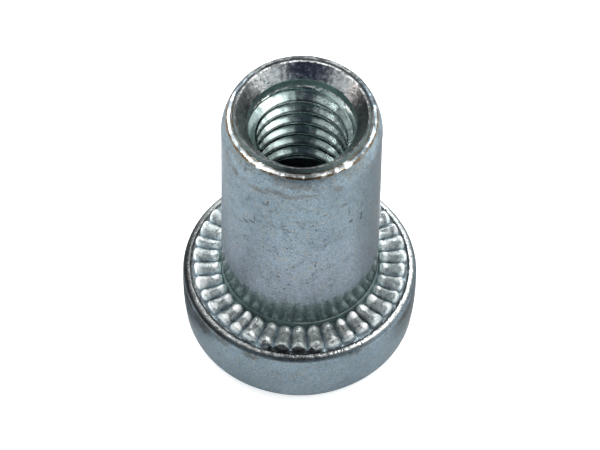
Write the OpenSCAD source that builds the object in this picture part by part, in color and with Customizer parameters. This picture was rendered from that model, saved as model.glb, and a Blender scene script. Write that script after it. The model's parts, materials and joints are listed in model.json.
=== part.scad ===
// Rivet nut: a round-bodied blind threaded insert with a thick head and radial serrations
// under the head. It stands on the head, with the axis upright and the threaded end up.
// Lengths in mm, angles in degrees, z = 0 on the outer face of the head.

/* [Body] */
// Outside diameter of the plain round body
body_d = 9; // [8.9:0.05:9.1]
// Length of the body, from the shoulder of the head to the threaded end
body_l = 14.4; // [14:0.1:18]
// Radius of the curve that draws the threaded end in
nose_r = 2.6; // [2.5:0.1:3]
// Length of that curve along the axis
nose_l = 1.5; // [1.3:0.05:1.5]
// How far below the rim the curve ends, in a narrow worn ledge
ledge_drop = 0.28; // [0.2:0.02:0.34]
// Diameter where the ledge meets the short cone of the rim
ledge_in_d = 8.06; // [8:0.02:8.1]
// Outside diameter of the rim, at the very end
rim_d = 7.7; // [7.64:0.02:7.8]
// How far the body widens at its foot, between the shoulder and the plain length
foot_flare = 0.1; // [0.04:0.01:0.1]
// Height of that widened foot above the shoulder, which clears the ribs
foot_h = 0.65; // [0.65:0.05:0.9]

/* [Head] */
// Largest diameter of the head, at its bulge
head_d = 13.5; // [13.45:0.05:14]
// Thickness of the head, from its outer face to the shoulder the ribs stand on
head_h = 4.3; // [4:0.1:5]
// Radius of the long bulging curve of the head's side
head_side_r = 20; // [15:1:40]
// Height of the bulge above the outer face
head_bulge_z = 3.3; // [3:0.1:3.4]
// Rounding of the edge round the outer face
head_foot_r = 0.9; // [0.6:0.05:1.1]
// Rounding of the edge round the shoulder
head_edge_r = 0.45; // [0.35:0.05:0.5]
// Inside diameter of the thin lip round the shoulder
lip_in_d = 12.66; // [12.62:0.01:12.7]
// Height of the lip above the shoulder
lip_h = 0.07; // [0.04:0.01:0.1]
// Depth of the half-round channel inside the lip
channel_depth = 0.08; // [0.05:0.01:0.1]

/* [Serrations] */
// How many radial ribs stand round the shoulder
rib_n = 38; // [36:1:40]
// Gap between the plain body and the inner ends of the ribs, measured at their foot
rib_gap = 0.15; // [0.12:0.01:0.25]
// Diameter where the ribs end
rib_out_d = 12.2; // [12.1:0.05:12.2]
// Width of a rib against its share of the circle: under 1 leaves a narrow gap to the next
rib_fullness = 0.95; // [0.9:0.01:0.96]
// Height of the low step the ribs stand on, above the shoulder
rib_step_h = 0.1; // [0.05:0.01:0.15]
// How far that step reaches past the ends of the ribs
rib_step_w = 0.05; // [0.04:0.01:0.06]
// Rounding of the outer ends of the ribs
rib_end_r = 0.4; // [0.35:0.05:0.45]
// Height where that rounding begins, above the step
rib_end_z = 0.12; // [0.11:0.01:0.15]
// Slant of the inner ends of the ribs, measured outward for each mm of height
rib_in_slant = 0.25; // [0.1:0.05:0.4]

/* [Bore] */
// Diameter of the threaded bore, measured on the crests of the thread
thread_bore_d = 5; // [4.92:0.01:5.15]
// Length of the threaded bore
thread_l = 5.5; // [5:0.1:7.5]
// Diameter of the plain lead-in above the thread
lead_d = 6.1; // [6.05:0.01:6.16]
// Depth of the end of the lead-in below the threaded end
lead_depth = 1.5; // [1.4:0.05:1.7]
// Diameter of the mouth of the countersink
sink_d = 7.56; // [7.4:0.02:7.6]
// Depth of the countersink
sink_depth = 0.9; // [0.7:0.05:1]
// Diameter of the thin-walled part of the bore, which folds when the nut is set
relief_d = 7; // [6.8:0.05:7.2]
// Width of the bevel where the bore opens in the outer face
mouth_bevel = 0.3; // [0.2:0.05:0.4]

/* [Hidden] */
$fn = 144;
rib_fn = 48;
over = 1;
body_r = body_d / 2;
nut_h = head_h + body_l;
nose_z = nut_h - nose_l;
ledge_z = nut_h - ledge_drop;
ledge_in_r = ledge_in_d / 2;
rim_r = rim_d / 2;
foot_r = body_r + foot_flare;
foot_z = head_h + foot_h;

head_r = head_d / 2;
lip_z = head_h + lip_h;
lip_in_r = lip_in_d / 2;
channel_x = lip_in_r - channel_depth;
foot_wall_r = head_r - head_side_r
  + sqrt(pow(head_side_r, 2) - pow(head_bulge_z - head_foot_r, 2));
foot_x = foot_wall_r - head_foot_r;
edge_x = head_r - head_edge_r;
edge_z = lip_z - head_edge_r;

rib_pitch = 360 / rib_n;
rib_slope = tan(rib_pitch / 2) * rib_fullness;
rib_base_z = head_h + rib_step_h;
rib_in_r = body_r + rib_gap;
rib_out_r = rib_out_d / 2;
rib_end_x = rib_out_r - rib_end_r;

thread_r = thread_bore_d / 2;
lead_r = lead_d / 2;
lead_z = nut_h - lead_depth;
thread_top_z = lead_z - (lead_r - thread_r);
thread_foot_z = thread_top_z - thread_l;
relief_r = relief_d / 2;
relief_z = thread_foot_z - (relief_r - thread_r);
sink_r = sink_d / 2;
sink_z = nut_h - sink_depth;
sink_flare = (sink_r - lead_r) / sink_depth;

steel_color = [0.62, 0.65, 0.67];

// Half section of the head: bulging side, rounded foot, rounded shoulder edge with its lip
module head_section() {
  difference() {
    intersection() {
      translate([head_r - head_side_r, head_bulge_z]) circle(r = head_side_r);
      union() {
        square([edge_x, lip_z]);
        square([head_r, edge_z]);
        translate([edge_x, edge_z]) circle(r = head_edge_r);
      }
      union() {
        translate([0, head_foot_r]) square([head_r, lip_z]);
        square([foot_x, lip_z]);
        translate([foot_x, head_foot_r]) circle(r = head_foot_r);
      }
    }
    translate([0, head_h]) square([lip_in_r, over]);
    translate([channel_x, head_h]) circle(r = channel_depth);
  }
  translate([0, head_h - rib_step_h]) square([rib_out_r + rib_step_w, 2 * rib_step_h]);
}

// Half section of the body: widened at the foot, plain, drawn in by one curve at the threaded end,
// which stops at a narrow ledge round the rim
module body_section() {
  polygon([[0, head_h], [foot_r, head_h], [foot_r, rib_base_z], [body_r, foot_z], [0, foot_z]]);
  intersection() {
    square([body_r, nut_h]);
    union() {
      square([body_r, nose_z]);
      translate([body_r - nose_r, nose_z]) circle(r = nose_r);
    }
    polygon([
      [0, 0],
      [body_r + over, 0],
      [body_r + over, ledge_z],
      [ledge_in_r, ledge_z],
      [rim_r, nut_h],
      [0, nut_h],
    ]);
  }
}

// Half section of the bore, from the bevelled mouth in the head to the countersink
module bore_section() {
  polygon([
    [0, -over],
    [relief_r + mouth_bevel + over, -over],
    [relief_r, mouth_bevel],
    [relief_r, relief_z],
    [thread_r, thread_foot_z],
    [thread_r, thread_top_z],
    [lead_r, lead_z],
    [lead_r, sink_z],
    [sink_r + over * sink_flare, nut_h + over],
    [0, nut_h + over],
  ]);
}

// Half section of the ring the ribs are trimmed to: slanted inside, rounded outside
module rib_ring_section() {
  polygon([
    [rib_in_r, rib_base_z - over],
    [rib_in_r, rib_base_z],
    [rib_in_r + over * rib_in_slant, rib_base_z + over],
    [rib_end_x, rib_base_z + over],
    [rib_end_x, rib_base_z - over],
  ]);
  translate([rib_end_x, rib_base_z - over]) square([rib_end_r, over + rib_end_z]);
  translate([rib_end_x, rib_base_z + rib_end_z]) circle(r = rib_end_r);
}

// Round-backed radial ribs, each one widening and rising outward with its share of the circle
module ribs() {
  for (i = [0:rib_n - 1])
    rotate([0, 0, i * rib_pitch])
      intersection() {
        translate([rib_in_r, 0, rib_base_z])
          rotate([0, 90, 0])
            cylinder(
              h = rib_out_r - rib_in_r, $fn = rib_fn,
              r1 = rib_in_r * rib_slope, r2 = rib_out_r * rib_slope
            );
        rotate([0, 0, -rib_pitch]) rotate_extrude(angle = 2 * rib_pitch) rib_ring_section();
      }
}

module rivet_nut() {
  color(steel_color) {
    rotate_extrude()
      difference() {
        union() {
          head_section();
          body_section();
        }
        bore_section();
      }
    ribs();
  }
}

rivet_nut();
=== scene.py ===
import json
import math

import bmesh
import bpy
import numpy as np
from bpy.props import FloatProperty, FloatVectorProperty, IntProperty, PointerProperty
from mathutils import Matrix, Vector


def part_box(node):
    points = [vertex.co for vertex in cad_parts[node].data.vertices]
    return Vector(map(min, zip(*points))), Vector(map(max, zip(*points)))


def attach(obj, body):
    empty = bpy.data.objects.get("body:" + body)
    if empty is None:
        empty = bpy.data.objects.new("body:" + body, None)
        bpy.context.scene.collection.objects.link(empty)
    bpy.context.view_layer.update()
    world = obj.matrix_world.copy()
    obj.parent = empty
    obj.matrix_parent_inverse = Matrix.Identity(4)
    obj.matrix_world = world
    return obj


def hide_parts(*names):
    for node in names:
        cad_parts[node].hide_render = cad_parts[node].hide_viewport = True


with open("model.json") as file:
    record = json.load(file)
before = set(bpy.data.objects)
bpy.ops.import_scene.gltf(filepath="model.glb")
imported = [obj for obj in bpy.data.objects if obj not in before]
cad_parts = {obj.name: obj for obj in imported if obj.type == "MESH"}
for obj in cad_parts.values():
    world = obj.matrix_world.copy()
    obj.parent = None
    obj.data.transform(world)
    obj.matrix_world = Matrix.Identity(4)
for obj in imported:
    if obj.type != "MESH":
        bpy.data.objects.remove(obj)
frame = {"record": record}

bl_info = {
    "name": "Rivet nut",
    "version": (1, 0, 0),
    "blender": (4, 5, 0),
    "location": "3D View > Sidebar > Rivet nut",
    "description": "Builds a plated steel rivet nut with a serrated head and a cut thread, on its stage",
    "category": "Add Mesh",
}

MM = 0.001
TURN = 2 * math.pi
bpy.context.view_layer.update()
LOW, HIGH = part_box("rivet_nut")
MOUNTS = {mount["name"]: mount for mount in frame["record"]["mounts"]}


def mount_radius(name):
    """Radius of a stated round mount, in metres."""
    return MOUNTS[name]["dims"]["r_mm"] * MM


def mount_ends(name):
    """Lowest and highest point of a stated round mount on the axis, in metres."""
    middle, half = MOUNTS[name]["pos_m"][2], MOUNTS[name]["dims"]["length_mm"] * MM / 2
    return middle - half, middle + half


NUT_H = HIGH[2]
HEAD_R = min(HIGH[0], HIGH[1], -LOW[0], -LOW[1])
BODY_R = mount_radius("body")
FOOT_Z, NOSE_Z = mount_ends("body")
CREST_R = mount_radius("thread")
THREAD_FOOT_Z, THREAD_TOP_Z = mount_ends("thread")
RELIEF_R = mount_radius("relief_bore")
RELIEF_Z = mount_ends("relief_bore")[1]

# Columns round the axis: plain rings have 8 to a rib, and the rings of the ribs have 16
RIB_COLUMNS = 16
PLAIN_COLUMNS = 8

# Points nearer than this are one point, and edges sharper than this are shaded sharp
MERGE_DISTANCE = 0.0002 * MM
SHARP_ANGLE = math.radians(50)


def length(name, description, default):
    """A length that a user may change. The default is in mm."""
    return FloatProperty(name=name, description=description, default=default * MM, unit="LENGTH")


def angle(name, description, default):
    """An angle that a user may change. The default is in degrees."""
    default = math.radians(default)
    return FloatProperty(name=name, description=description, default=default, subtype="ANGLE")


def tint(name, description, default):
    """A colour that a user may change."""
    return FloatVectorProperty(
        name=name, description=description, default=default, subtype="COLOR", size=3, min=0, max=1,
    )


class NutSizes(bpy.types.PropertyGroup):
    """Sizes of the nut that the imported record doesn't state."""

    head_h: length("Head thickness", "From the outer face to the shoulder", 4.3)
    side_r: length("Side curve", "Radius of the long bulging curve of the head's side", 20)
    bulge_z: length("Bulge height", "Height of the head's widest place", 3.3)
    foot_round: length("Foot rounding", "Rounding of the edge round the outer face", 0.9)
    edge_round: length("Shoulder edge rounding", "Rounding of the edge round the shoulder", 0.45)
    lip_in_r: length("Lip inner radius", "Inside radius of the thin lip round the shoulder", 6.33)
    lip_h: length("Lip height", "Height of the lip above the shoulder", 0.07)
    rib_count: IntProperty(
        name="Ribs", description="Radial ribs round the shoulder", default=38, min=30, max=44,
    )
    rib_in_r: length("Rib inner radius", "Where the ribs begin", 4.57)
    rib_out_r: length("Rib outer radius", "Where the ribs end", 6.15)
    rib_low_h: length("Rib height inside", "Height of a rib above the shoulder at its inner end", 0.53)
    rib_high_h: length("Rib height outside", "Height of a rib above the shoulder at its outer end", 0.6)
    nose_r: length("Nose curve", "Radius of the curve that draws the threaded end in", 2.6)
    ledge_drop: length("Ledge below the rim", "How far below the rim the worn ledge lies", 0.28)
    ledge_in_r: length("Ledge inner radius", "Where the ledge meets the short cone of the rim", 3.88)
    ledge_lift: length("Ledge rise", "How much nearer to the rim the worn ledge lies at the back", 0.17)
    rim_r: length("Rim radius", "Outside radius of the rim at the very end", 3.78)
    sink_r: length("Countersink radius", "Radius of the countersink's mouth", 3.68)
    sink_depth: length("Countersink depth", "Depth of the countersink", 0.82)
    lead_r: length("Lead-in radius", "Radius of the plain lead-in above the thread", 3.05)
    pitch: length("Thread pitch", "Rise of the thread in one turn", 1)


class NutFinish(bpy.types.PropertyGroup):
    """Colours of the plating."""

    dull: tint("Dull plating", "Blue-grey film on the body and the side of the head", (0.17, 0.226, 0.264))
    # The stain colour is also darkened to paint the shade under the head's lip
    stain: tint("Stain", "Brownish patches in the dull plating", (0.21, 0.23, 0.23))
    pit: tint("Pits", "Dark pits and scratches", (0.05, 0.055, 0.06))
    bright: tint("Bright plating", "Plating on the ribs and the lip", (0.82, 0.89, 0.89))
    gold: tint("Gold edge", "Golden-brown tint along the worn crest", (0.14, 0.1, 0.055))
    thread: tint("Thread plating", "Green-grey plating in the bore", (0.56, 0.69, 0.67))


class StudioSettings(bpy.types.PropertyGroup):
    """Camera and light."""

    camera_azimuth: angle("Camera azimuth", "Turn of the camera about the nut, from straight in front", 4.3)
    camera_elevation: angle("Camera elevation", "Height of the camera above the horizon, as an angle", 54.3)
    camera_roll: angle("Camera roll", "Tilt of the camera about its own line of sight", 0.9)
    camera_distance: length("Camera distance", "From the camera to the plane of the shoulder's centre", 280.8)
    camera_lens: FloatProperty(
        name="Focal length", description="Focal length for a 36 mm wide sensor, in mm", default=292.5,
    )
    aim_up: length("Aim above", "How far the camera aims above the shoulder's centre", 2.288)
    aim_side: length("Aim beside", "How far the camera aims to the right of the shoulder's centre", 0.0134)
    floor_glow: FloatProperty(
        name="Floor brightness", description="Light that the pale floor gives by itself", default=0.55,
    )
    room_light: FloatProperty(
        name="Room brightness", description="Even light from all round", default=0.8,
    )


# ---- Mesh ----


def add_object(name, data):
    """Adds an object that holds a mesh, a lamp or a camera."""
    obj = bpy.data.objects.new(name, data)
    bpy.context.scene.collection.objects.link(obj)
    return obj


class Skin:
    """A surface made of rings of points round the axis, with a finish for each band between two rings."""

    def __init__(self):
        self.points, self.faces, self.finishes = [], [], []
        self.count = 0
        self.first = self.last = None

    def ring(self, radius, height, azimuth):
        """Adds a ring, whose radius and height may vary round it, and returns its points' numbers."""
        ones = np.ones(len(azimuth))
        self.points.append(
            np.column_stack([radius * np.cos(azimuth), radius * np.sin(azimuth), height * ones])
        )
        self.count += len(azimuth)
        return np.arange(self.count - len(azimuth), self.count)

    def join(self, first, second, finish):
        """Joins two rings. Either may have twice as many points as the other."""
        after_first, after_second = np.roll(first, -1), np.roll(second, -1)
        if len(first) == len(second):
            new = np.column_stack([first, after_first, after_second, second]).tolist()
        elif len(second) > len(first):
            middle, end = second[1::2], after_second[1::2]
            new = np.column_stack([first, middle, second[::2]]).tolist()
            new += np.column_stack([first, after_first, middle]).tolist()
            new += np.column_stack([after_first, end, middle]).tolist()
        else:
            middle, end = first[1::2], after_first[1::2]
            new = np.column_stack([first[::2], middle, second]).tolist()
            new += np.column_stack([middle, after_second, second]).tolist()
            new += np.column_stack([middle, end, after_second]).tolist()
        self.faces += new
        self.finishes += [finish] * len(new)

    def grow(self, radius, height, azimuth, finish):
        """Adds a ring and joins it to the one before."""
        new = self.ring(radius, height, azimuth)
        if self.last is None:
            self.first = new
        else:
            self.join(self.last, new, finish)
        self.last = new

    def piece(self, name, finishes):
        """Makes the Blender object, with points that coincide merged."""
        mesh = bpy.data.meshes.new(name)
        mesh.from_pydata(np.concatenate(self.points).tolist(), [], self.faces)
        for finish in finishes:
            mesh.materials.append(finish)
        mesh.polygons.foreach_set("material_index", self.finishes)
        weld(mesh)
        mesh.shade_smooth()
        mesh.set_sharp_from_angle(angle=SHARP_ANGLE)
        return add_object(name, mesh)


def weld(mesh):
    """Merges points that coincide and drops the faces that this leaves without area."""
    work = bmesh.new()
    work.from_mesh(mesh)
    bmesh.ops.remove_doubles(work, verts=work.verts, dist=MERGE_DISTANCE)
    work.to_mesh(mesh)
    work.free()


def waves(azimuth, along, seed, turns, per_mm, count=14):
    """Smooth random waves of about unit size, closed round the axis: up to turns to a circle."""
    draw = np.random.default_rng(seed)
    total = 0
    for _ in range(count):
        around, up = draw.integers(1, turns + 1), draw.uniform(-per_mm, per_mm) / MM * TURN
        total = total + np.sin(around * azimuth + up * along + draw.uniform(0, TURN))
    return total * math.sqrt(2 / count)


def arc(centre, radius, start, end, steps):
    """Points of a circular arc in the half section, angles in degrees from outward."""
    angles = np.radians(np.linspace(start, end, steps + 1))
    return [(centre[0] + radius * math.cos(a), centre[1] + radius * math.sin(a)) for a in angles]


def rounded(before, corner, after, radius, steps):
    """Points that round a corner of the half section with that radius."""
    before, corner, after = (np.array(p) for p in (before, corner, after))
    a, b = before - corner, after - corner
    a, b = a / np.linalg.norm(a), b / np.linalg.norm(b)
    half = math.acos(float(a @ b)) / 2
    middle = (a + b) / np.linalg.norm(a + b)
    centre = corner + middle * radius / math.sin(half)
    start, end = corner + a * radius / math.tan(half), corner + b * radius / math.tan(half)
    points = []
    for share in np.linspace(0, 1, steps + 1):
        spoke = (1 - share) * (start - centre) + share * (end - centre)
        points.append(tuple(centre + spoke / np.linalg.norm(spoke) * radius))
    return points


def line(start, end, steps):
    """Points from start to end of a straight stretch of the half section, without its first."""
    return [
        (start[0] + (end[0] - start[0]) * i / steps, start[1] + (end[1] - start[1]) * i / steps)
        for i in range(1, steps + 1)
    ]


# Finishes, in the order of the piece's material slots
DULL, SIDE, LIP, RIBS, CREST, SINK, LEAD, THREAD, BORE, RIM, EDGE, CHANNEL, FOOT = range(13)


def rib_columns(sizes):
    """Azimuths of the rib rings, the place of each across its rib from -1 to 1, and its rib's number."""
    step = np.linspace(-1, 1, RIB_COLUMNS, endpoint=False)
    across = 0.5 * step + 0.5 * np.sin(step * math.pi / 2)
    rib = np.repeat(np.arange(sizes.rib_count), RIB_COLUMNS)
    across = np.tile(across, sizes.rib_count)
    azimuth = (rib + across / 2) * TURN / sizes.rib_count
    return azimuth + 0.009 * waves(azimuth, 0, seed=77, turns=30, per_mm=0), across, rib


def tagged(points, finish):
    """Points of the half section, each with the finish of the band before it."""
    return [(point, finish) for point in points]


def head_path(sizes):
    """Half section of the head from the bore's mouth to the lip, as (point, finish of the band before it)."""
    side_x = HEAD_R - sizes.side_r
    foot_wall = side_x + math.sqrt(sizes.side_r**2 - (sizes.bulge_z - sizes.foot_round) ** 2)
    foot_x, edge_x = foot_wall - sizes.foot_round, HEAD_R - sizes.edge_round
    edge_z = sizes.head_h + sizes.lip_h - sizes.edge_round
    low = math.degrees(math.asin((sizes.foot_round - sizes.bulge_z) / sizes.side_r))
    high = math.degrees(math.asin((edge_z - sizes.bulge_z) / sizes.side_r))
    path = tagged([(x, 0) for x in (RELIEF_R + 0.3 * MM, RELIEF_R + 0.5 * MM, foot_x - 0.3 * MM)], DULL)
    path += tagged(arc((foot_x, sizes.foot_round), sizes.foot_round, -90, 0, steps=9), SIDE)
    path += tagged(arc((side_x, sizes.bulge_z), sizes.side_r, low, high, steps=12)[1:], SIDE)
    path += tagged(arc((edge_x, edge_z), sizes.edge_round, 8, 50, steps=5), SIDE)
    path += tagged(arc((edge_x, edge_z), sizes.edge_round, 56, 84, steps=5), LIP)
    return path


def nose_path(sizes):
    """Half section from the top of the plain body over the worn ledge and the rim, down to the thread."""
    centre = (BODY_R - sizes.nose_r, NOSE_Z)
    ledge_z = NUT_H - sizes.ledge_drop
    top = math.asin((ledge_z - NOSE_Z) / sizes.nose_r)
    outer = (centre[0] + sizes.nose_r * math.cos(top), ledge_z - 0.01 * MM)
    crown = (sizes.ledge_in_r + 0.13 * MM, ledge_z + 0.05 * MM)
    crook = (sizes.ledge_in_r, ledge_z + 0.03 * MM)
    rim, inner = (sizes.rim_r, NUT_H), (sizes.sink_r, NUT_H)
    foot = (sizes.lead_r, NUT_H - sizes.sink_depth)
    lead = (sizes.lead_r, THREAD_TOP_Z + sizes.lead_r - CREST_R)
    curve = arc(centre, sizes.nose_r, 0, math.degrees(top) - 2.5, steps=11)
    mouth = rounded(rim, inner, foot, 0.04 * MM, steps=4)
    corner = rounded(inner, foot, lead, 0.07 * MM, steps=3)
    brink = (sizes.lead_r, lead[1] + 0.14 * MM)
    worn_brink = (sizes.lead_r - 0.035 * MM, lead[1] + 0.08 * MM)
    path = tagged(curve, DULL)
    path += tagged(rounded(curve[-1], outer, crown, 0.09 * MM, steps=5), CREST)
    path += tagged(rounded(outer, crown, crook, 0.2 * MM, steps=3), CREST)
    path += tagged(rounded(crown, crook, rim, 0.03 * MM, steps=3), CREST)
    path += tagged(rounded(crook, rim, inner, 0.03 * MM, steps=3), RIM)
    path += tagged(mouth, EDGE)
    path += tagged(line(mouth[-1], corner[0], steps=7), SINK)
    path += tagged(corner[1:] + line(corner[-1], brink, steps=5), LEAD)
    path += tagged([worn_brink, lead], EDGE)
    return path


# Dark marks in the body's film: azimuth in degrees, height, half width and half height, in mm
MARKS = (
    (-140, 12.6, 0.2, 0.06),
    (-134, 12.75, 0.25, 0.05),
    (-128, 13.15, 0.25, 0.07),
    (-123, 13.5, 0.2, 0.09),
    (-120.5, 14.0, 0.05, 0.35),
    (-112, 15.7, 0.2, 0.1),
    (-109.5, 16.0, 0.08, 0.22),
    (-107, 15.3, 0.13, 0.06),
    (-68, 15.1, 0.09, 0.08),
    (-83.5, 14.2, 0.14, 0.07),
    (-95.5, 12.15, 0.1, 0.08),
    (-67, 12.2, 0.09, 0.08),
    (-37, 13.3, 0.09, 0.4),
    (-49, 14.6, 0.04, 0.35),
    (-47, 13.6, 0.14, 0.14),
    (-105, 13.95, 0.22, 0.05),
    (-97, 13.9, 0.3, 0.05),
    (-74.5, 10.6, 0.04, 0.4),
)

# Brown bands in the film below the worn end, in the same order
BANDS = (
    (-118, 16.8, 0.8, 0.2),
    (-105, 17.15, 0.7, 0.18),
    (-94, 17.0, 0.7, 0.18),
    (-80, 17.15, 0.7, 0.16),
    (-87, 17.85, 0.9, 0.18),
    (-58, 17.2, 0.3, 0.3),
    (-140, 16.9, 0.3, 0.3),
)

# Painted shade: dark soft patches under the lip of the head, in the same order
HEAD_SHADES = (
    (-172, 3.6, 1.0, 0.5),
    (-158, 3.8, 0.9, 0.4),
    (-141, 3.7, 0.9, 0.6),
    (-127, 3.9, 0.6, 0.33),
    (-110, 3.9, 0.5, 0.25),
    (-58, 4.0, 0.6, 0.12),
    (-20, 3.7, 1.0, 0.3),
)

# Marks pressed into the body: azimuth in degrees, height, size along the axis and round it, and
# depth, in mm
DENTS = (
    (-104, 15.9, 0.05, 0.35, 0.012),
    (-70, 14.6, 0.10, 0.12, 0.010),
    (-66, 15.1, 0.09, 0.09, 0.012),
    (-84, 14.1, 0.07, 0.09, 0.010),
    (-95, 12.1, 0.08, 0.08, 0.012),
    (-80, 12.3, 0.06, 0.10, 0.010),
)

# Lumps on the ends of the ribs that carry painted white glints: their half sizes in mm at the inner and at
# the outer end, for one rib after another round the front, and 0 for none
FIRST_GLINT_RIB = -19
GLINT_LUMPS_INNER = (
    0, 0.15, 0.15, 0.16, 0.24, 0.28, 0.26, 0, 0, 0, 0, 0, 0, 0.26, 0.3, 0.3, 0.28, 0.16, 0, 0.16, 0.16,
)
GLINT_LUMPS_OUTER = (
    0.2, 0.16, 0.42, 0.2, 0.2, 0.22, 0.24, 0.18, 0.16, 0, 0, 0, 0.16, 0.24, 0.22, 0.2, 0.2, 0.18, 0.18,
    0.16, 0.16,
)

# How far the lumps with painted glints sit beside the middle of their rib, in ribs
GLINT_SHIFT = 0.1

# Painted highlights on the crest: azimuth in degrees, height, half width and half height, in mm
CREST_GLINTS = (
    (-128, 18.45, 0.12, 0.3),
    (-120, 18.45, 0.2, 0.3),
    (-84, 18.45, 0.1, 0.3),
    (-57, 18.45, 0.16, 0.3),
    (-47, 18.45, 0.24, 0.3),
)

# Radius of the middle of the worn ledge
LEDGE_R = 4.08 * MM

# Height above the shoulder of the gaps between the ribs, and how far the body widens at its foot
GAP_H = 0.08 * MM
FOOT_SPREAD = 0.05 * MM

# The lumps of the head's side and of the body are kept this far inside the solid's outline
HEAD_INSET = 0.012 * MM
BODY_INSET = 0.006 * MM

# Where the rings of the ribs lie, as shares of a rib's length: the first from its outer end, and the
# others from its inner end. They are closer together near both ends.
OUTER_STEPS = (0, 0.004, 0.012, 0.025, 0.045, 0.075, 0.11, 0.15, 0.2, 0.26)
MIDDLE_STEPS = np.linspace(0.68, 0.2, 10)
INNER_STEPS = (0.15, 0.115, 0.09, 0.07, 0.05, 0.035, 0.02, 0.01, 0)
RIB_STEPS = np.concatenate([1 - np.array(OUTER_STEPS), MIDDLE_STEPS, INNER_STEPS])

# Rows of the plain body up to each height
BODY_ROWS = ((5.7 * MM, 4), (11.8 * MM, 16), (NOSE_Z, 36))


def glint_lumps(sizes):
    """Place in the plane and half size of each lump that carries a painted glint, in metres."""
    ends = (sizes.rib_in_r + 0.35 * MM, sizes.rib_out_r - 0.33 * MM)
    lumps = []
    for rib, half_sizes in enumerate(zip(GLINT_LUMPS_INNER, GLINT_LUMPS_OUTER), start=FIRST_GLINT_RIB):
        azimuth = (rib + GLINT_SHIFT) * TURN / sizes.rib_count
        for radius, size in zip(ends, half_sizes):
            if size:
                lumps.append((radius * math.cos(azimuth), radius * math.sin(azimuth), size * MM))
    return lumps


def on_wall(marks, radius):
    """Marks on a round wall as (place, half sizes), in mm."""
    turned = [(math.radians(turn), level, wide, tall) for turn, level, wide, tall in marks]
    return [
        ((radius / MM * math.cos(turn), radius / MM * math.sin(turn), level), (wide, wide, tall))
        for turn, level, wide, tall in turned
    ]


def dents(azimuth, height):
    """How far the marks press the wall in at one height."""
    total = np.zeros(len(azimuth))
    for turn, level, tall, wide, depth in DENTS:
        away = (azimuth - math.radians(turn) + math.pi) % TURN - math.pi
        total += depth * MM * np.exp(
            -((away * BODY_R / (wide * MM)) ** 2) - ((height - level * MM) / (tall * MM)) ** 2
        )
    return total


def bell(away):
    """1 at 0 and falling smoothly to 0 on both sides."""
    return math.exp(-(away**2))


def rounded_end(away, reach):
    """0 at a rib's end, rising in a quarter circle to 1 at that reach from it."""
    return np.sqrt(1 - (1 - np.clip(away / reach, 0, 1)) ** 2)


def thread_profile(sizes):
    """The thread's section: (share of a pitch down from the middle of the crest, radius)."""
    crest, root, soft = 0.095, 0.44, 0.02
    depth, ease = 0.54 * sizes.pitch, 0.006 * sizes.pitch
    root_r = CREST_R + depth

    def flank(share):
        return share, CREST_R + (root_r - CREST_R) * (share - crest) / (root - crest)

    half = [
        (crest * 0.6, CREST_R),
        (crest, CREST_R + ease),
        flank(crest + soft),
        flank(0.21),
        flank(0.32),
        flank(root - soft),
        (root + 0.01, root_r - ease),
    ]
    return half + [(1 - share, radius) for share, radius in reversed(half)]


def cut_thread(skin, sizes, azimuth):
    """The helical thread, from the lead-in down to the relief bore."""
    lead_z, foot_z = THREAD_TOP_Z + sizes.lead_r - CREST_R, RELIEF_Z
    profile = thread_profile(sizes)
    turns = math.ceil((lead_z - foot_z) / sizes.pitch) + 1
    rise = np.arange(len(azimuth)) / len(azimuth) * sizes.pitch
    rings = [skin.last]
    for turn in range(-1, turns + 1):
        for share, radius in profile:
            height = np.clip(lead_z - (turn + share) * sizes.pitch + rise, foot_z, lead_z)
            top_cone = sizes.lead_r - (lead_z - height)
            foot_cone = CREST_R + (THREAD_FOOT_Z - height)
            rough = 0.004 * MM * waves(azimuth, height, seed=31, turns=40, per_mm=0.8)
            wall = np.maximum(np.maximum(radius + rough, top_cone), foot_cone)
            wall = np.where(height <= foot_z, RELIEF_R, wall)
            wall = np.where(height >= lead_z, sizes.lead_r, wall)
            rings.append(skin.ring(wall, height, azimuth))

    # A ring rises by one pitch in a turn, so its end meets the start of the ring one pitch above
    meets = [rings[max(number - len(profile), 0)][0] for number in range(len(rings))]
    skin.last = skin.ring(RELIEF_R, foot_z, azimuth)
    rings.append(skin.last)
    meets.append(skin.last[0])
    for number in range(len(rings) - 1):
        first, second = rings[number], rings[number + 1]
        new = np.column_stack([first[:-1], first[1:], second[1:], second[:-1]]).tolist()
        seam = (first[-1], meets[number], meets[number + 1], second[-1])
        new.append(list(dict.fromkeys(int(point) for point in seam)))
        skin.faces += new
        skin.finishes += [THREAD] * len(new)


def build_head(skin, sizes, azimuth):
    """The outer face, foot, side and edge of the head."""
    for (radius, height), finish in head_path(sizes):
        lump = 0.006 * MM * waves(azimuth, height, seed=3, turns=9, per_mm=0.12) - HEAD_INSET
        lump = lump * min(1, height / (0.5 * MM))
        if finish == LIP:
            lump = lump + 0.008 * MM * waves(azimuth, height, seed=5, turns=90, per_mm=0.2)
        skin.grow(radius + lump, height, azimuth, finish)


def build_channel(skin, sizes, azimuth):
    """The inside of the lip and the channel between it and the ribs."""
    lip_r, lip_z, head_h = sizes.lip_in_r, sizes.head_h + sizes.lip_h, sizes.head_h
    bumpy = 0.012 * MM * waves(azimuth, 0, seed=6, turns=110, per_mm=0)
    for radius, height in (
        (lip_r + 0.02 * MM, lip_z - 0.004 * MM),
        (lip_r - 0.02 * MM, lip_z - 0.03 * MM),
        (lip_r - 0.05 * MM, head_h - 0.01 * MM),
        (lip_r - 0.09 * MM, head_h - 0.04 * MM),
        (sizes.rib_out_r + 0.03 * MM, head_h - 0.03 * MM),
    ):
        finish = LIP if height > head_h else CHANNEL
        skin.grow(radius + bumpy, height + 0.3 * bumpy, azimuth, finish)


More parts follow.
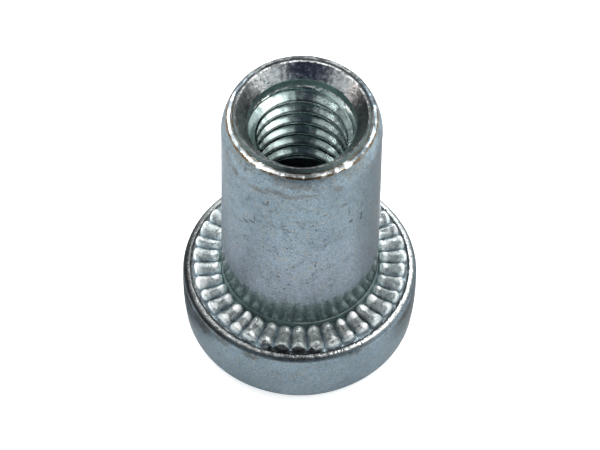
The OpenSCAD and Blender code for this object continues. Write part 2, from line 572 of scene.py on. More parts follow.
def build_ribs(skin, sizes, azimuth, across, rib):
    """The ribs, each a little different, with a knob at both ends and the lumps that carry painted glints."""
    draw = np.random.default_rng(11)

    def each_rib():
        return draw.standard_normal(sizes.rib_count)[rib]

    # height, ends and sideways slope of each rib
    tall = 1 + 0.08 * each_rib()
    inner = sizes.rib_in_r + 0.035 * MM * each_rib()
    outer = sizes.rib_out_r + 0.04 * MM * each_rib().clip(-2, 1)
    lean = 0.12 * each_rib()
    base = sizes.head_h + GAP_H

    # section across a rib, whose corners are rounded as seen from above too
    crown = 0.1 + 0.9 * np.abs(np.cos(across * math.pi / 2)) ** 0.8
    outer = outer - 0.17 * MM * np.abs(across) ** 3
    inner = inner + 0.08 * MM * np.abs(across) ** 3
    slope = sizes.rib_high_h - sizes.rib_low_h
    lumps = glint_lumps(sizes)
    for step in RIB_STEPS:
        radius = inner + (outer - inner) * step
        end = rounded_end(1 - step, 0.1) * rounded_end(step, 0.06)
        knobs = bell((step - 0.84) / 0.1) + bell((step - 0.15) / 0.1)
        height = sizes.rib_low_h + slope * step + 0.11 * MM * (knobs - 0.5)
        top = (height - 0.05 * MM) * tall * (1 + lean * across * crown)
        for x, y, size in lumps:
            away = (radius * np.cos(azimuth) - x) ** 2 + (radius * np.sin(azimuth) - y) ** 2
            top = top + 0.2 * size * np.exp(-away / (0.8 * size) ** 2)
        rough = 0.014 * MM * waves(azimuth, radius, seed=12, turns=150, per_mm=1.2)
        rough = rough + 0.012 * MM * waves(azimuth, radius, seed=13, turns=60, per_mm=0.6)
        skin.grow(radius, base + end * crown * (top + rough), azimuth, RIBS)


def build_body(skin, sizes, azimuth):
    """The widened foot and the plain body, with its slight lumps and dents."""
    base, foot_r = sizes.head_h + GAP_H, BODY_R + FOOT_SPREAD
    skin.grow(foot_r + 0.02 * MM, base - 0.01 * MM, azimuth, RIBS)
    foot = [(foot_r, base + 0.03 * MM)]
    foot += line(foot[0], (BODY_R, FOOT_Z), steps=4)
    wall, low = [], FOOT_Z
    for high, rows in BODY_ROWS:
        wall += line((BODY_R, low), (BODY_R, high), rows)
        low = high
    wall.pop()
    for number, (radius, height) in enumerate(foot + wall):
        fade = min(1, (height - base) / MM, (NUT_H - height) / MM)
        lump = 0.006 * MM * waves(azimuth, height, seed=21, turns=7, per_mm=0.15)
        lump = lump + 0.0015 * MM * waves(azimuth, height, seed=22, turns=60, per_mm=1.6)
        low_down = np.clip((5.5 * MM - height) / (0.8 * MM), 0, 1)
        flute = low_down * 0.008 * MM * np.cos(sizes.rib_count * azimuth)
        skin.grow(
            radius + fade * lump + flute - BODY_INSET - dents(azimuth, height), height, azimuth,
            FOOT if number < len(foot) else DULL,
        )


def build_nose(skin, sizes, azimuth):
    """The drawn-in nose, the worn crest, the rim, the countersink and the lead-in."""
    for (radius, height), finish in nose_path(sizes):
        near = bell((radius - LEDGE_R) / (0.16 * MM)) * (height > NUT_H - 0.5 * MM)
        worn = waves(azimuth, radius, seed=41, turns=26, per_mm=0.5) * 0.014 * MM
        worn = worn + waves(azimuth, radius, seed=42, turns=80, per_mm=0.8) * 0.003 * MM
        drop = near * (worn - 0.02 * MM)
        if radius > sizes.rim_r + 0.03 * MM:
            rise = min(max((height - NUT_H + 0.9 * MM) / (0.5 * MM), 0), 1)
            drop = drop + rise * sizes.ledge_lift * np.clip(np.sin(azimuth), 0, 1)
        out = waves(azimuth, height, seed=43, turns=30, per_mm=0.4) * 0.008 * MM * near
        if finish in (SINK, EDGE, RIM):
            depth = (0.003 if finish == SINK else 0.006) * MM
            out = out + waves(azimuth, height, seed=44, turns=60, per_mm=1.2) * depth
        skin.grow(radius + out, np.minimum(height + drop, NUT_H), azimuth, finish)


def build_skin(sizes):
    """The nut's whole surface, from the mouth of the bore in the head round to the mouth again."""
    skin = Skin()
    columns = sizes.rib_count * PLAIN_COLUMNS
    plain = np.arange(columns) * TURN / columns
    fine, across, rib = rib_columns(sizes)
    build_head(skin, sizes, plain)
    build_channel(skin, sizes, fine)
    build_ribs(skin, sizes, fine, across, rib)
    build_body(skin, sizes, plain)
    build_nose(skin, sizes, plain)
    cut_thread(skin, sizes, plain)
    for radius, height in line((RELIEF_R, RELIEF_Z), (RELIEF_R, 0.3 * MM), steps=6):
        skin.grow(radius, height, plain, BORE)
    skin.join(skin.last, skin.first, BORE)
    return skin


# ---- Finishes ----


def add_node(tree, kind, inputs=None, **settings):
    """Adds a node. Inputs are sockets to link or values to set."""
    node = tree.nodes.new("ShaderNode" + kind)
    for key, value in settings.items():
        setattr(node, key, value)
    for key, value in (inputs or {}).items():
        if isinstance(value, bpy.types.NodeSocket):
            tree.links.new(value, node.inputs[key])
        else:
            node.inputs[key].default_value = value
    return node


def new_material(name, values):
    """A material with those values on its shader."""
    material = bpy.data.materials.new(name)
    material.use_nodes = True
    for socket, value in values.items():
        material.node_tree.nodes["Principled BSDF"].inputs[socket].default_value = value
    return material


class Finish:
    """A node material for one finish of the plating. Places and heights are in mm."""

    def __init__(self, name, colour, roughness, metallic=1.0):
        values = {"Base Color": (*colour, 1), "Metallic": metallic, "Roughness": roughness}
        self.material = new_material(name, values)
        self.material.diffuse_color = (*colour, 1)
        self.tree = self.material.node_tree
        self.shader = self.tree.nodes["Principled BSDF"]
        self.place = self.vector("SCALE", self.node("TexCoord").outputs["Object"], 1 / MM)
        flat = self.vector("MULTIPLY", self.place, (1, 1, 0))
        self.radius = self.vector("LENGTH", flat)
        self.around = self.vector("NORMALIZE", flat)
        self.height = self.parts(self.place)["Z"]
        parts = self.parts(self.around)
        self.x_part, self.y_part = parts["X"], parts["Y"]

    def node(self, kind, inputs=None, **settings):
        """Adds a node to the material."""
        return add_node(self.tree, kind, inputs, **settings)

    def vector(self, operation, a, b=None):
        """One vector node. SCALE takes a number as b, and LENGTH gives a number."""
        inputs = {0: a}
        if b is not None:
            inputs["Scale" if operation == "SCALE" else 1] = b
        node = self.node("VectorMath", inputs, operation=operation)
        return node.outputs["Value" if operation == "LENGTH" else "Vector"]

    def parts(self, vector):
        """The three numbers of a vector, by name."""
        return self.node("SeparateXYZ", {0: vector}).outputs

    def math(self, operation, a, b=0.0, clamp=False):
        """One arithmetic node."""
        return self.node("Math", {0: a, 1: b}, operation=operation, use_clamp=clamp).outputs[0]

    def chain(self, operation, first, *others):
        """Joins the first value with each of the others in turn."""
        for other in others:
            first = self.math(operation, first, other)
        return first

    def times(self, *values):
        """The product of the values."""
        return self.chain("MULTIPLY", *values)

    def plus(self, *values):
        """The sum of the values."""
        return self.chain("ADD", *values)

    def most(self, *values):
        """The greatest of the values."""
        return self.chain("MAXIMUM", *values)

    def noise(self, scale, detail, rough, where=None, distort=0.0):
        """Noise with that many features to a millimetre. rough is how strong the finer detail is."""
        inputs = {
            "Vector": where or self.place, "Scale": scale, "Detail": detail, "Roughness": rough,
            "Distortion": distort,
        }
        return self.node("TexNoise", inputs).outputs["Fac"]

    def turned(self, around, across):
        """Coordinates that are long round the axis and short across it, as turning leaves lines."""
        lift = self.times(self.plus(self.radius, self.height), across)
        lift = self.node("CombineXYZ", {"Z": lift}).outputs[0]
        return self.vector("ADD", self.vector("SCALE", self.around, around), lift)

    def span(self, value, low, high, to_low=0.0, to_high=1.0):
        """Maps low..high smoothly to to_low..to_high."""
        inputs = {"Value": value, "From Min": low, "From Max": high, "To Min": to_low, "To Max": to_high}
        return self.node("MapRange", inputs, interpolation_type="SMOOTHSTEP").outputs["Result"]

    def vary(self, noise, to_low, to_high):
        """Maps the range that a noise mostly keeps to smoothly to to_low..to_high."""
        return self.span(noise, 0.3, 0.7, to_low, to_high)

    def between(self, value, start, end):
        """1 between a start and an end, each given as the two limits of its soft edge, and 0 outside."""
        return self.times(self.span(value, *start), self.span(value, *end, 1, 0))

    def blend(self, share, a, b):
        """Mixes two colours."""
        node = self.node("Mix", {0: share}, data_type="RGBA")
        for number, value in ((6, a), (7, b)):
            if isinstance(value, bpy.types.NodeSocket):
                self.tree.links.new(value, node.inputs[number])
            else:
                node.inputs[number].default_value = (*value, 1)
        return node.outputs[2]

    def spots(self, marks, ragged):
        """1 inside the listed marks and 0 outside, with edges as ragged as that, in mm."""
        inputs = {"Vector": self.place, "Scale": 4, "Detail": 3}
        shift = self.node("TexNoise", inputs).outputs["Color"]
        shift = self.vector("SCALE", self.vector("SUBTRACT", shift, (0.5, 0.5, 0.5)), ragged)
        place = self.vector("ADD", self.place, shift)
        inside = []
        for centre, half in marks:
            away = self.vector("DIVIDE", self.vector("SUBTRACT", place, centre), half)
            inside.append(self.span(self.vector("LENGTH", away), 0.6, 1.3, 1, 0))
        return self.most(*inside)

    def painted_rib_glints(self):
        """Painted highlights: how white the ends of the ribs are painted as glints, at random at the back,
        and as listed in front.
        """
        sizes = bpy.context.scene.nut_sizes
        turn = self.math("ARCTAN2", self.y_part, self.x_part)

        # place across the rib, in half widths of a spot. The whole ribs added keep the number positive.
        whole_ribs, spots_to_rib = 100, 4.2
        number = self.plus(self.times(turn, sizes.rib_count / TURN), whole_ribs + 0.5)
        across = self.times(self.math("SUBTRACT", self.math("FRACT", number), 0.5), spots_to_rib)
        found = []
        for radius, shift in ((4.85, 3), (5.88, 8)):
            along = self.math("DIVIDE", self.math("SUBTRACT", self.radius, radius), 0.2)
            both = self.node("CombineXYZ", {"X": across, "Y": along})
            away = self.vector("LENGTH", both.outputs[0])
            away = self.plus(away, self.vary(self.noise(5, 2, 0.5), -0.4, 0.4))
            elsewhere = self.vector("ADD", self.place, (shift, shift, shift))
            chosen = self.span(self.noise(1.3, 2, 0.5, where=elsewhere), 0.4, 0.5)
            found.append(self.times(self.span(away, 0.5, 1.1, 1, 0), chosen))
        at_back = self.times(self.most(*found), self.span(self.y_part, 0, 0.3, 0, 0.6))
        middle_z, half_z = 4.9, 1
        lumps = [
            ((x / MM, y / MM, middle_z), (size / MM, size / MM, half_z))
            for x, y, size in glint_lumps(sizes)
        ]
        return self.most(at_back, self.spots(lumps, 0.2))

    def bump(self, height, strength, distance, under=None):
        """A bump of that distance in metres."""
        inputs = {"Height": height, "Strength": strength, "Distance": distance}
        if under is not None:
            inputs["Normal"] = under
        return self.node("Bump", inputs).outputs["Normal"]

    def finish(self, colour, roughness=None, normal=None, metallic=None):
        """Links what was built to the shader."""
        for name, value in (
            ("Base Color", colour), ("Roughness", roughness), ("Normal", normal), ("Metallic", metallic),
        ):
            if value is not None:
                self.tree.links.new(value, self.shader.inputs[name])
        return self.material


def dull_plating(colours, name, on_body):
    """Blue-grey grainy film with pits and fine scratches, on the body or on the side of the head."""
    f = Finish(name, colours.dull, 0.4, 0.85)
    f.shader.inputs["Specular Tint"].default_value = (0.45, 0.45, 0.45, 1)
    shade, stain_and_shade_depth, foot_share = (1.0, 0.6, 0.9) if on_body else (0.9, 0.45, 0.0)

    # grain, and painted light that makes the film brighter towards both sides
    wide = f.noise(0.3, 2, 0.5)
    mid = f.noise(4.5, 3, 0.65, distort=0.8)
    fine = f.noise(11, 3, 0.75)
    tone = f.times(
        f.plus(f.vary(mid, 0.86, 1.12), f.vary(fine, -0.3, 0.3)),
        f.span(wide, 0.35, 0.65, 0.94 * shade, 1.05 * shade),
        f.span(f.x_part, -0.85, -0.45, 1.2, 1),
        f.span(f.x_part, 0.5, 0.85, 1, 1.22),
    )
    colour = f.blend(f.span(f.height, 15, 7, 0, foot_share), colours.dull, (0.205, 0.242, 0.288))
    colour = f.blend(f.span(f.noise(3.5, 3, 0.6), 0.5, 0.64, 0, 0.75), colour, colours.stain)

    # pits in clusters, and scratches where a noise crosses its middle
    pits = f.span(f.noise(5.2, 2, 0.6), 0.66, 0.72)
    pits = f.times(pits, f.span(f.noise(0.8, 2, 0.5), 0.44, 0.58))
    hair = f.math("ABSOLUTE", f.math("SUBTRACT", f.noise(1.8, 3, 0.6, distort=1.5), 0.5))
    scratch = f.times(f.span(hair, 0.0, 0.02, 1, 0), f.span(f.noise(1.3, 3, 0.6), 0.52, 0.58), 0.85)
    marks = f.most(pits, scratch)

    # brownish streaks and bands near the worn end on the body, and on the head painted shade: dark patches
    # under the lip and a darker top edge on the left
    if on_body:
        marks = f.most(f.times(marks, 1.25), f.spots(on_wall(MARKS, BODY_R), 0.25))
        streak = f.noise(1, 4, 0.6, where=f.turned(4, 1.6), distort=0.6)
        patch = f.times(f.span(f.height, 15.5, 18.2), f.span(streak, 0.5, 0.6, 0, 0.7))
        patch = f.most(patch, f.spots(on_wall(BANDS, BODY_R), 0.45))
    else:
        patch = f.spots(on_wall(HEAD_SHADES, HEAD_R), 0.9)
        # painted shade along the head's top edge, strongest on the left
        edge = f.span(f.height, 4.02, 4.16, 0, f.span(f.x_part, -0.75, -0.2, 0.9, 0.3))
        tone = f.times(tone, f.math("SUBTRACT", 1, edge))
    # low on the body the film is smoother, and a green tint is painted there as the reflection of the ribs
    foot = f.span(f.height, 6.2, 7.4, foot_share, 0)
    # the stain colour, darker, marks the body's bands and paints the shade under the head's lip
    colour = f.blend(f.times(patch, 0.8), colour, tuple(stain_and_shade_depth * c for c in colours.stain))
    colour = f.blend(foot, colour, (0.2, 0.265, 0.265))
    colour = f.vector("SCALE", colour, tone)
    colour = f.blend(f.math("MULTIPLY", marks, 0.7, clamp=True), colour, colours.pit)
    rough = f.plus(f.vary(mid, 0.32, 0.4), f.times(foot, -0.2))
    normal = f.bump(fine, f.plus(f.times(foot, -0.45), 0.55), 0.008 * MM)
    normal = f.bump(marks, 0.7, 0.012 * MM, normal)
    return f.finish(colour, rough, normal)


def bright_plating(colours, name, low_shade, metallic, rough, gaps=0.0, on_lip=False):
    """Lumpy bright plating of the head's top, with painted shade in front and painted shade in another colour
    low down.

    gaps is the least tone that the painted shade in front leaves in the gaps between the ribs.
    """
    f = Finish(name, colours.bright, rough[0], metallic)
    mid = f.noise(3.4, 3, 0.6)
    fine = f.noise(10, 3, 0.6)
    tone = f.plus(f.vary(mid, 0.75, 1.15), f.vary(fine, -0.15, 0.15))
    shine = metallic

    # painted shade darkens the lip on its left, where it is also less metallic, and on its outer edge; and
    # painted light makes the ribs darker half way along, lighter at their ends and darker on the right
    if on_lip:
        turn = f.plus(f.x_part, f.vary(mid, -0.15, 0.15))
        tone = f.times(
            tone, f.span(turn, -0.6, 0.35, 0.5, 1), f.span(f.x_part, -1, -0.8, 0.2, 1),
            f.span(f.radius, 6.48, 6.56, 1, 0.3),
        )
        shine = f.span(f.x_part, -0.5, 0.2, 0.45, metallic)
    # painted shade: darker in front, and less so in the gaps between the ribs
    front_shade = f.span(f.y_part, -0.95, -0.15, 0.5, 1)
    tone = f.times(tone, f.most(front_shade, f.span(f.height, 4.5, 4.75, gaps, 0)))
    if not on_lip:
        from_middle = f.math("ABSOLUTE", f.math("SUBTRACT", f.radius, 5.36))
        from_middle = f.plus(from_middle, f.vary(mid, -0.2, 0.2))
        tone = f.times(tone, f.span(f.x_part, 0.2, 0.9, 1, 0.8), f.span(from_middle, 0.2, 0.5, 0.8, 1.1))

    # painted shade low down in the gaps and in a dark patch in front between the ribs and the lip, and
    # painted white glints on the ends of the ribs
    colour = f.blend(f.span(f.height, 4.46, 4.78), low_shade, colours.bright)
    front = f.span(f.plus(f.y_part, f.vary(mid, -0.02, 0.02)), -0.985, -0.94, 1, 0)
    patch = f.times(f.between(f.radius, (5.98, 6.06), (6.3, 6.34)), front)
    colour = f.blend(patch, colour, (0.035, 0.04, 0.045))
    # painted highlights: the ends of the ribs turn white, rougher and less metallic as glints
    rib_glints = f.painted_rib_glints()
    colour = f.blend(rib_glints, colour, (1, 1, 1))
    colour = f.vector("SCALE", colour, f.most(tone, rib_glints))
    normal = f.bump(mid, 0.6, 0.035 * MM)
    normal = f.bump(f.noise(5.5, 2, 0.5), 0.7, 0.03 * MM, normal)
    normal = f.bump(fine, 0.5, 0.01 * MM, normal)
    return f.finish(
        colour, f.plus(f.vary(mid, *rough), f.times(rib_glints, 0.04)), normal, f.span(rib_glints, 0, 1, shine, 0.1)
    )


def foot_plating(colours):
    """Green-grey film on the widened foot, with painted light on both sides, painted shade in front and a
    painted highlight line on the right.
    """
    f = Finish("green_foot", colours.dull, 0.3, 0.6)
    colour = f.blend(f.span(f.y_part, -0.85, -0.4, 1, 0), (0.48, 0.6, 0.59), (0.21, 0.3, 0.3))
    # a painted highlight: a thin light line round the right side
    line = f.between(f.height, (4.82, 4.86), (4.92, 4.96))
    line = f.times(line, f.span(f.x_part, -0.05, 0.1), 0.8)
    colour = f.blend(line, colour, (0.6, 0.66, 0.68))
    return f.finish(colour, None, f.bump(f.noise(9, 3, 0.7), 0.5, 0.01 * MM))


def crest_plating(colours):
    """Worn bright ledge with golden-brown edges, with painted shade at the back, where its edges are painted
    dark, and painted highlights.
    """
    f = Finish("worn_crest", colours.bright, 0.22, 0.9)
    spot = f.noise(2.2, 2, 0.5)
    back = f.span(f.y_part, -0.2, 0.5)
    side = f.span(f.math("ABSOLUTE", f.x_part), 0.6, 0.9)

    # edges outside and inside the ledge, golden-brown in front and painted dark as shade at the back
    edge = f.most(f.span(f.radius, 4.11, 4.17), f.between(f.radius, (3.84, 3.87), (3.91, 3.98)))
    edge = f.times(edge, f.span(f.noise(1.8, 2, 0.5), 0.4, 0.55, 0.6, 1))

    # painted shade: darker at the back and the sides, but in patches only
    low = f.plus(f.times(back, -0.75), f.times(side, -0.4), 1)
    patch = f.span(f.noise(4.5, 3, 0.6), 0.4, 0.6, 0.35, 1)
    patch = f.times(patch, f.span(back, 0, 1, 0.9, 0.45))
    tone = f.times(f.span(spot, 0.35, 0.65, 0.55, 1.1), f.most(low, patch))
    colour = f.vector("SCALE", (0.74, 0.78, 0.78), tone)
    colour = f.blend(f.times(side, f.span(spot, 0.4, 0.55, 0.95, 0.55)), colour, colours.dull)
    colour = f.blend(edge, colour, f.blend(back, colours.gold, (0.03, 0.028, 0.035)))
    # painted highlights: white glints at the listed places
    crest_glints = f.spots(on_wall(CREST_GLINTS, LEDGE_R), 0.3)
    colour = f.blend(crest_glints, colour, (1, 1, 1))
    normal = f.bump(spot, 0.4, 0.03 * MM)
    return f.finish(colour, f.vary(spot, 0.2, 0.34), normal, f.span(crest_glints, 0, 1, 0.9, 0.6))


def edge_plating(colours):
    """Thin edges painted white as a highlight, brighter at the back."""
    f = Finish("bright_edge", colours.bright, 0.35, 0.3)
    back = f.span(f.y_part, 0, 0.8, 0.16, 0.85)
    spot = f.span(f.noise(5, 3, 0.6), 0.42, 0.6, 0.2, 1.15)
    colour = f.vector("SCALE", (1, 1, 1), f.times(back, spot))
    return f.finish(colour, None, f.bump(f.noise(7, 3, 0.6), 0.6, 0.02 * MM))


def cut_plating(colours, name, colour, rough, lines, dirt, dark_side=1.0, crest=None):
    """Plating over a turned surface: fine lines round the axis, and specks.

    dark_side is the tone that painted shade leaves on both sides, and crest the radius in mm of a thread's
    crest, which gets a painted highlight beside painted shade in its groove.
    """
    f = Finish(name, colour, rough[0])
    ring = f.noise(1, 2, 0.5, where=f.turned(3, lines))
    spot = f.noise(3.4, 4, 0.65)
    speck = f.span(f.noise(6.5, 2, 0.5), 0.64, 0.72)
    tone = f.plus(f.vary(spot, 1 - 0.25 * dirt, 1 + 0.1 * dirt), f.vary(ring, -0.08, 0.08))
    # painted shade on both sides
    if dark_side < 1:
        side = f.plus(f.math("ABSOLUTE", f.x_part), f.vary(spot, -0.1, 0.1))
        tone = f.times(tone, f.span(side, 0.72, 0.86, 1, dark_side))
    # painted highlight on the crest and painted shade in the groove below it
    if crest is not None:
        top = f.span(f.radius, crest + 0.008, crest + 0.02, 1, 0)
        groove = f.between(f.radius, (crest + 0.01, crest + 0.03), (crest + 0.08, crest + 0.12))
        groove = f.math("SUBTRACT", 1, f.times(groove, 0.8))
        tone = f.times(tone, f.plus(f.times(top, 0.7), groove))
    shade = f.vector("SCALE", colour, tone)
    shade = f.blend(f.times(speck, 0.7 * dirt), shade, colours.pit)
    normal = f.bump(ring, 0.35, 0.006 * MM)
    normal = f.bump(spot, 0.4, 0.03 * dirt * MM, normal)
    normal = f.bump(f.noise(11, 3, 0.7), 0.4, 0.012 * dirt * MM, normal)
    return f.finish(shade, f.vary(spot, *rough), normal)


def nut_finishes(colours):
    """All finishes, in the order of the material slots."""
    # the rim's short cone is painted dark as shade
    sink, lead, bore, rim = (0.62, 0.65, 0.66), (0.31, 0.43, 0.43), (0.3, 0.38, 0.42), (0.11, 0.15, 0.15)
    # the low colours of the ribs and the channel are painted shade; the lip's is close to its bright colour
    lip_low, ribs_gap_shade, channel_shade = (0.8, 0.84, 0.84), (0.34, 0.43, 0.48), (0.12, 0.125, 0.125)
    thread = tuple(colours.thread)
    return [
        dull_plating(colours, "dull_plating", True),
        dull_plating(colours, "dull_head_side", False),
        bright_plating(colours, "bright_lip", lip_low, 0.95, (0.2, 0.34), on_lip=True),
        bright_plating(colours, "bright_ribs", ribs_gap_shade, 0.55, (0.22, 0.42), gaps=0.85),
        crest_plating(colours),
        cut_plating(colours, "turned_countersink", sink, (0.16, 0.28), 14, 1.7, dark_side=0.3),
        cut_plating(colours, "turned_lead_in", lead, (0.36, 0.46), 14, 1),
        cut_plating(colours, "cut_thread", thread, (0.2, 0.28), 20, 0.35, crest=CREST_R / MM),
        cut_plating(colours, "deep_bore", bore, (0.4, 0.5), 10, 1),
        cut_plating(colours, "turned_rim", rim, (0.26, 0.36), 10, 1),
        edge_plating(colours),
        bright_plating(colours, "dark_channel", channel_shade, 0.7, (0.3, 0.4)),
        foot_plating(colours),
    ]


# ---- Stage ----

# Lamps: azimuth and elevation in degrees, width and height in metres, how bright each looks in a
# mirror, and for some a colour other than white
LAMPS = {
    "soft_box_right": (-5, 37, 0.14, 0.34, 2.35, (1, 0.94, 0.9)),
    "strip_left_low": (-176, 18, 0.12, 0.12, 2.3, (1, 0.8, 0.75)),
    "strip_left_high": (-153, 56, 0.025, 0.06, 7),
    "strip_right_high": (-27, 56, 0.03, 0.06, 3),
    "strip_left_front": (-124, 63, 0.03, 0.10, 2.4),
    "lamp_top_right": (8, 66, 0.045, 0.045, 48),
    "lamp_top_left": (172, 66, 0.045, 0.045, 48),
    "lamp_low_right": (76, 25, 0.05, 0.05, 9),
    "lamp_low_left": (104, 25, 0.05, 0.05, 9),
    "lamp_back_right": (52, 46, 0.07, 0.07, 14),
    "lamp_back_left": (128, 46, 0.07, 0.07, 26),
}
LAMP_DISTANCE = 0.4

# Cards that only reflections see: azimuth and elevation in degrees, distance, width and height in
# metres, and shade
CARDS = {
    "dark_card_front": (-92, 38, 0.5, 0.46, 0.78, (0.014, 0.02, 0.036)),
    "dark_card_low": (-94, 24, 0.48, 0.72, 0.24, (0.02, 0.028, 0.06)),
    "dark_card_left_back": (147, 18, 0.5, 0.4, 0.3, (0.05, 0.055, 0.06)),
    "dark_card_left_high": (-165, 50, 0.5, 0.35, 0.2, (0.06, 0.065, 0.07)),
    "dark_card_left": (180, 1.5, 0.2, 0.16, 0.05, (0.03, 0.03, 0.03)),
}

# Cards of the same kind on the floor: lowest x and y and highest x and y in mm, and shade
FLOOR_CARDS = {
    "floor_card_left": (-9.4, -6, -7.0, 8, (0.04, 0.04, 0.04)),
    "floor_card_right": (7.1, -3, 17, 14, (0.72, 0.7, 0.66)),
    "floor_card_front": (-150, -400, 150, -80, (0.05, 0.055, 0.065)),
}
CARD_LIFT = 0.2 * MM
FLOOR_SIZE = 6.0


def face_nut(obj, azimuth, elevation, distance):
    """Hangs a lamp or card in that direction, in degrees, facing the nut and hidden from the camera."""
    turn, lift = math.radians(azimuth), math.radians(elevation)
    level = math.cos(lift)
    away = Vector((math.cos(turn) * level, math.sin(turn) * level, math.sin(lift)))
    middle = Vector((0, 0, NUT_H / 2))
    obj.location = middle + away * distance
    obj.rotation_mode = "QUATERNION"
    obj.rotation_quaternion = (middle - obj.location).to_track_quat("-Z", "Y")
    obj.visible_camera = False


def rectangle(name, width, height, colour, glow):
    """A flat piece without shine, facing up, that gives off light of the colour glow."""
    mesh = bpy.data.meshes.new(name)
    w, h = width / 2, height / 2
    mesh.from_pydata([(-w, -h, 0), (w, -h, 0), (w, h, 0), (-w, h, 0)], [], [(0, 1, 2, 3)])
    values = {"Base Color": (*colour, 1), "Specular IOR Level": 0, "Emission Color": (*glow, 1)}
    mesh.materials.append(new_material(name, {**values, "Emission Strength": 1}))
    return add_object(name, mesh)


def soft_box(name, azimuth, elevation, width, height, glow, colour=(1, 1, 1)):
    """An area lamp that faces the nut."""
    lamp = bpy.data.lights.new(name, "AREA")
    lamp.shape, lamp.size, lamp.size_y = "RECTANGLE", width, height
    lamp.energy = glow * width * height * math.pi
    lamp.color = colour
    obj = add_object(name, lamp)
    face_nut(obj, azimuth, elevation, LAMP_DISTANCE)


def flag(name, azimuth, elevation, distance, width, height, shade):
    """A card that only reflections see."""
    obj = rectangle(name, width, height, (0, 0, 0), shade)
    face_nut(obj, azimuth, elevation, distance)
    obj.visible_diffuse = False
    obj.visible_shadow = False
    return obj


def lay_card(name, low_x, low_y, high_x, high_y, shade):
    """A card just above the floor, in mm, that only reflections see."""
    width, height = (high_x - low_x) * MM, (high_y - low_y) * MM
    card = flag(name, 0, 90, LAMP_DISTANCE, width, height, shade)
    card.location = ((low_x + high_x) / 2 * MM, (low_y + high_y) / 2 * MM, CARD_LIFT)
    card.rotation_quaternion = (1, 0, 0, 0)


def lay_floor(studio):
    """A plain pale floor that glows a little, except right under the nut, so shadows stay light."""
    floor = rectangle("floor", FLOOR_SIZE, FLOOR_SIZE, (0.9, 0.9, 0.9), (1, 1, 1))
    material = floor.data.materials[0]
    material.name = "pale_floor"
    tree = material.node_tree
    place = add_node(tree, "TexCoord").outputs["Object"]
    away = add_node(tree, "VectorMath", {0: place}, operation="LENGTH").outputs["Value"]
    dark_r, light_r = 4 * MM, 5 * MM
    fade = {"Value": away, "From Min": dark_r, "From Max": light_r, "To Max": studio.floor_glow}
    strength = add_node(tree, "MapRange", fade).outputs["Result"]
    shader = tree.nodes["Principled BSDF"]
    shader.inputs["Roughness"].default_value = 1
    tree.links.new(strength, shader.inputs["Emission Strength"])


def light_room(studio):
    """Even light from all round, weaker from above, with a white backdrop for the camera."""
    world = bpy.data.worlds.new("room")
    bpy.context.scene.world = world
    world.use_nodes = True
    tree = world.node_tree
    tree.nodes.clear()
    look = add_node(tree, "TexCoord").outputs["Generated"]
    up = add_node(tree, "SeparateXYZ", {0: look}).outputs["Z"]
    fall = {"Value": up, "From Min": 0.8, "From Max": 0.97, "To Min": 1.0, "To Max": 0.1}
    fall = add_node(tree, "MapRange", fall, interpolation_type="SMOOTHSTEP").outputs["Result"]
    level = add_node(tree, "Math", {0: fall, 1: studio.room_light}, operation="MULTIPLY").outputs[0]
    room = add_node(tree, "Background", {"Color": (0.93, 0.98, 1, 1), "Strength": level}).outputs[0]
    backdrop = add_node(tree, "Background", {"Color": (1, 1, 1, 1), "Strength": 1}).outputs[0]
    seen = add_node(tree, "LightPath").outputs["Is Camera Ray"]
    mix = add_node(tree, "MixShader", {0: seen, 1: room, 2: backdrop}).outputs[0]
    add_node(tree, "OutputWorld", {0: mix})


def hang_lights():
    """Soft boxes on both sides and behind, and dark cards on the camera's side and low on the left."""
    for name, lamp in LAMPS.items():
        soft_box(name, *lamp)
    for name, card in CARDS.items():
        flag(name, *card)
    for name, card in FLOOR_CARDS.items():
        lay_card(name, *card)


def set_camera(studio):
    """The camera looks down on the standing nut through a long lens."""
    turn, lift, roll = studio.camera_azimuth, studio.camera_elevation, studio.camera_roll
    side = Vector((math.cos(turn), math.sin(turn), 0))
    ahead = Vector((-math.sin(turn), math.cos(turn), 0))
    sight = ahead * math.cos(lift) - Vector((0, 0, 1)) * math.sin(lift)
    above = ahead * math.sin(lift) + Vector((0, 0, 1)) * math.cos(lift)
    right = side * math.cos(roll) + above * math.sin(roll)
    top = above * math.cos(roll) - side * math.sin(roll)
    shoulder = Vector((0, 0, bpy.context.scene.nut_sizes.head_h))
    target = shoulder + right * studio.aim_side + top * studio.aim_up
    data = bpy.data.cameras.new("camera")
    data.sensor_width, data.lens = 36, studio.camera_lens
    data.clip_start, data.clip_end = 0.01, 10
    camera = add_object("camera", data)
    axes = Matrix((right, top, -sight)).transposed().to_4x4()
    camera.matrix_world = Matrix.Translation(target - sight * studio.camera_distance) @ axes
    bpy.context.scene.camera = camera


# ---- Add-on ----


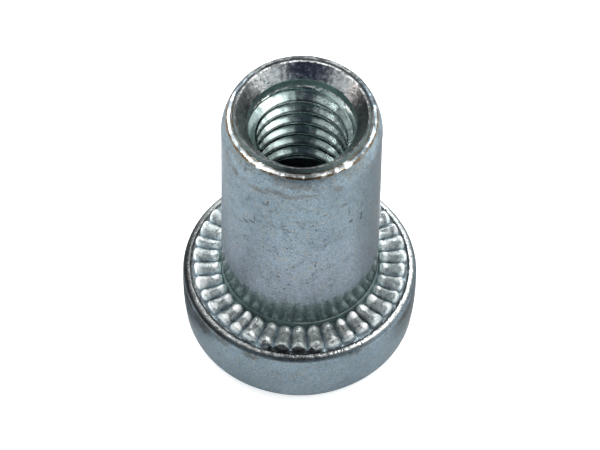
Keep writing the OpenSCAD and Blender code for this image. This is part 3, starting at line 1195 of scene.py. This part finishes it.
class RIVETNUT_OT_nut(bpy.types.Operator):
    """Build the rivet nut with its ribs, thread and finishes"""

    bl_idname = "rivetnut.nut"
    bl_label = "Rivet nut"

    def execute(self, context):
        scene = context.scene
        nut = build_skin(scene.nut_sizes).piece("plated_rivet_nut", nut_finishes(scene.nut_finish))
        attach(nut, "root")
        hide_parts("rivet_nut")
        return {"FINISHED"}


class RIVETNUT_OT_stage(bpy.types.Operator):
    """Set up the pale floor, the studio light and the camera"""

    bl_idname = "rivetnut.stage"
    bl_label = "Stage"

    def execute(self, context):
        studio = context.scene.nut_studio
        lay_floor(studio)
        light_room(studio)
        hang_lights()
        set_camera(studio)
        context.scene.view_settings.view_transform = "Standard"
        return {"FINISHED"}


class RIVETNUT_PT_panel(bpy.types.Panel):
    """Lists the builders and the values that a user may change"""

    bl_label = "Rivet nut"
    bl_idname = "RIVETNUT_PT_panel"
    bl_space_type = "VIEW_3D"
    bl_region_type = "UI"
    bl_category = "Rivet nut"

    def draw(self, context):
        layout = self.layout
        for operator in OPERATORS:
            layout.operator(operator.bl_idname)
        for group in (context.scene.nut_sizes, context.scene.nut_finish, context.scene.nut_studio):
            box = layout.box()
            for name in group.bl_rna.properties.keys():
                if name not in ("rna_type", "name"):
                    box.prop(group, name)


OPERATORS = (RIVETNUT_OT_nut, RIVETNUT_OT_stage)
CLASSES = (NutSizes, NutFinish, StudioSettings, *OPERATORS, RIVETNUT_PT_panel)


def register():
    for cls in CLASSES:
        bpy.utils.register_class(cls)
    bpy.types.Scene.nut_sizes = PointerProperty(type=NutSizes)
    bpy.types.Scene.nut_finish = PointerProperty(type=NutFinish)
    bpy.types.Scene.nut_studio = PointerProperty(type=StudioSettings)


def unregister():
    del bpy.types.Scene.nut_studio, bpy.types.Scene.nut_finish, bpy.types.Scene.nut_sizes
    for cls in reversed(CLASSES):
        bpy.utils.unregister_class(cls)


def main():
    register()
    bpy.ops.rivetnut.nut()
    bpy.ops.rivetnut.stage()


if __name__ == "__main__":
    main()
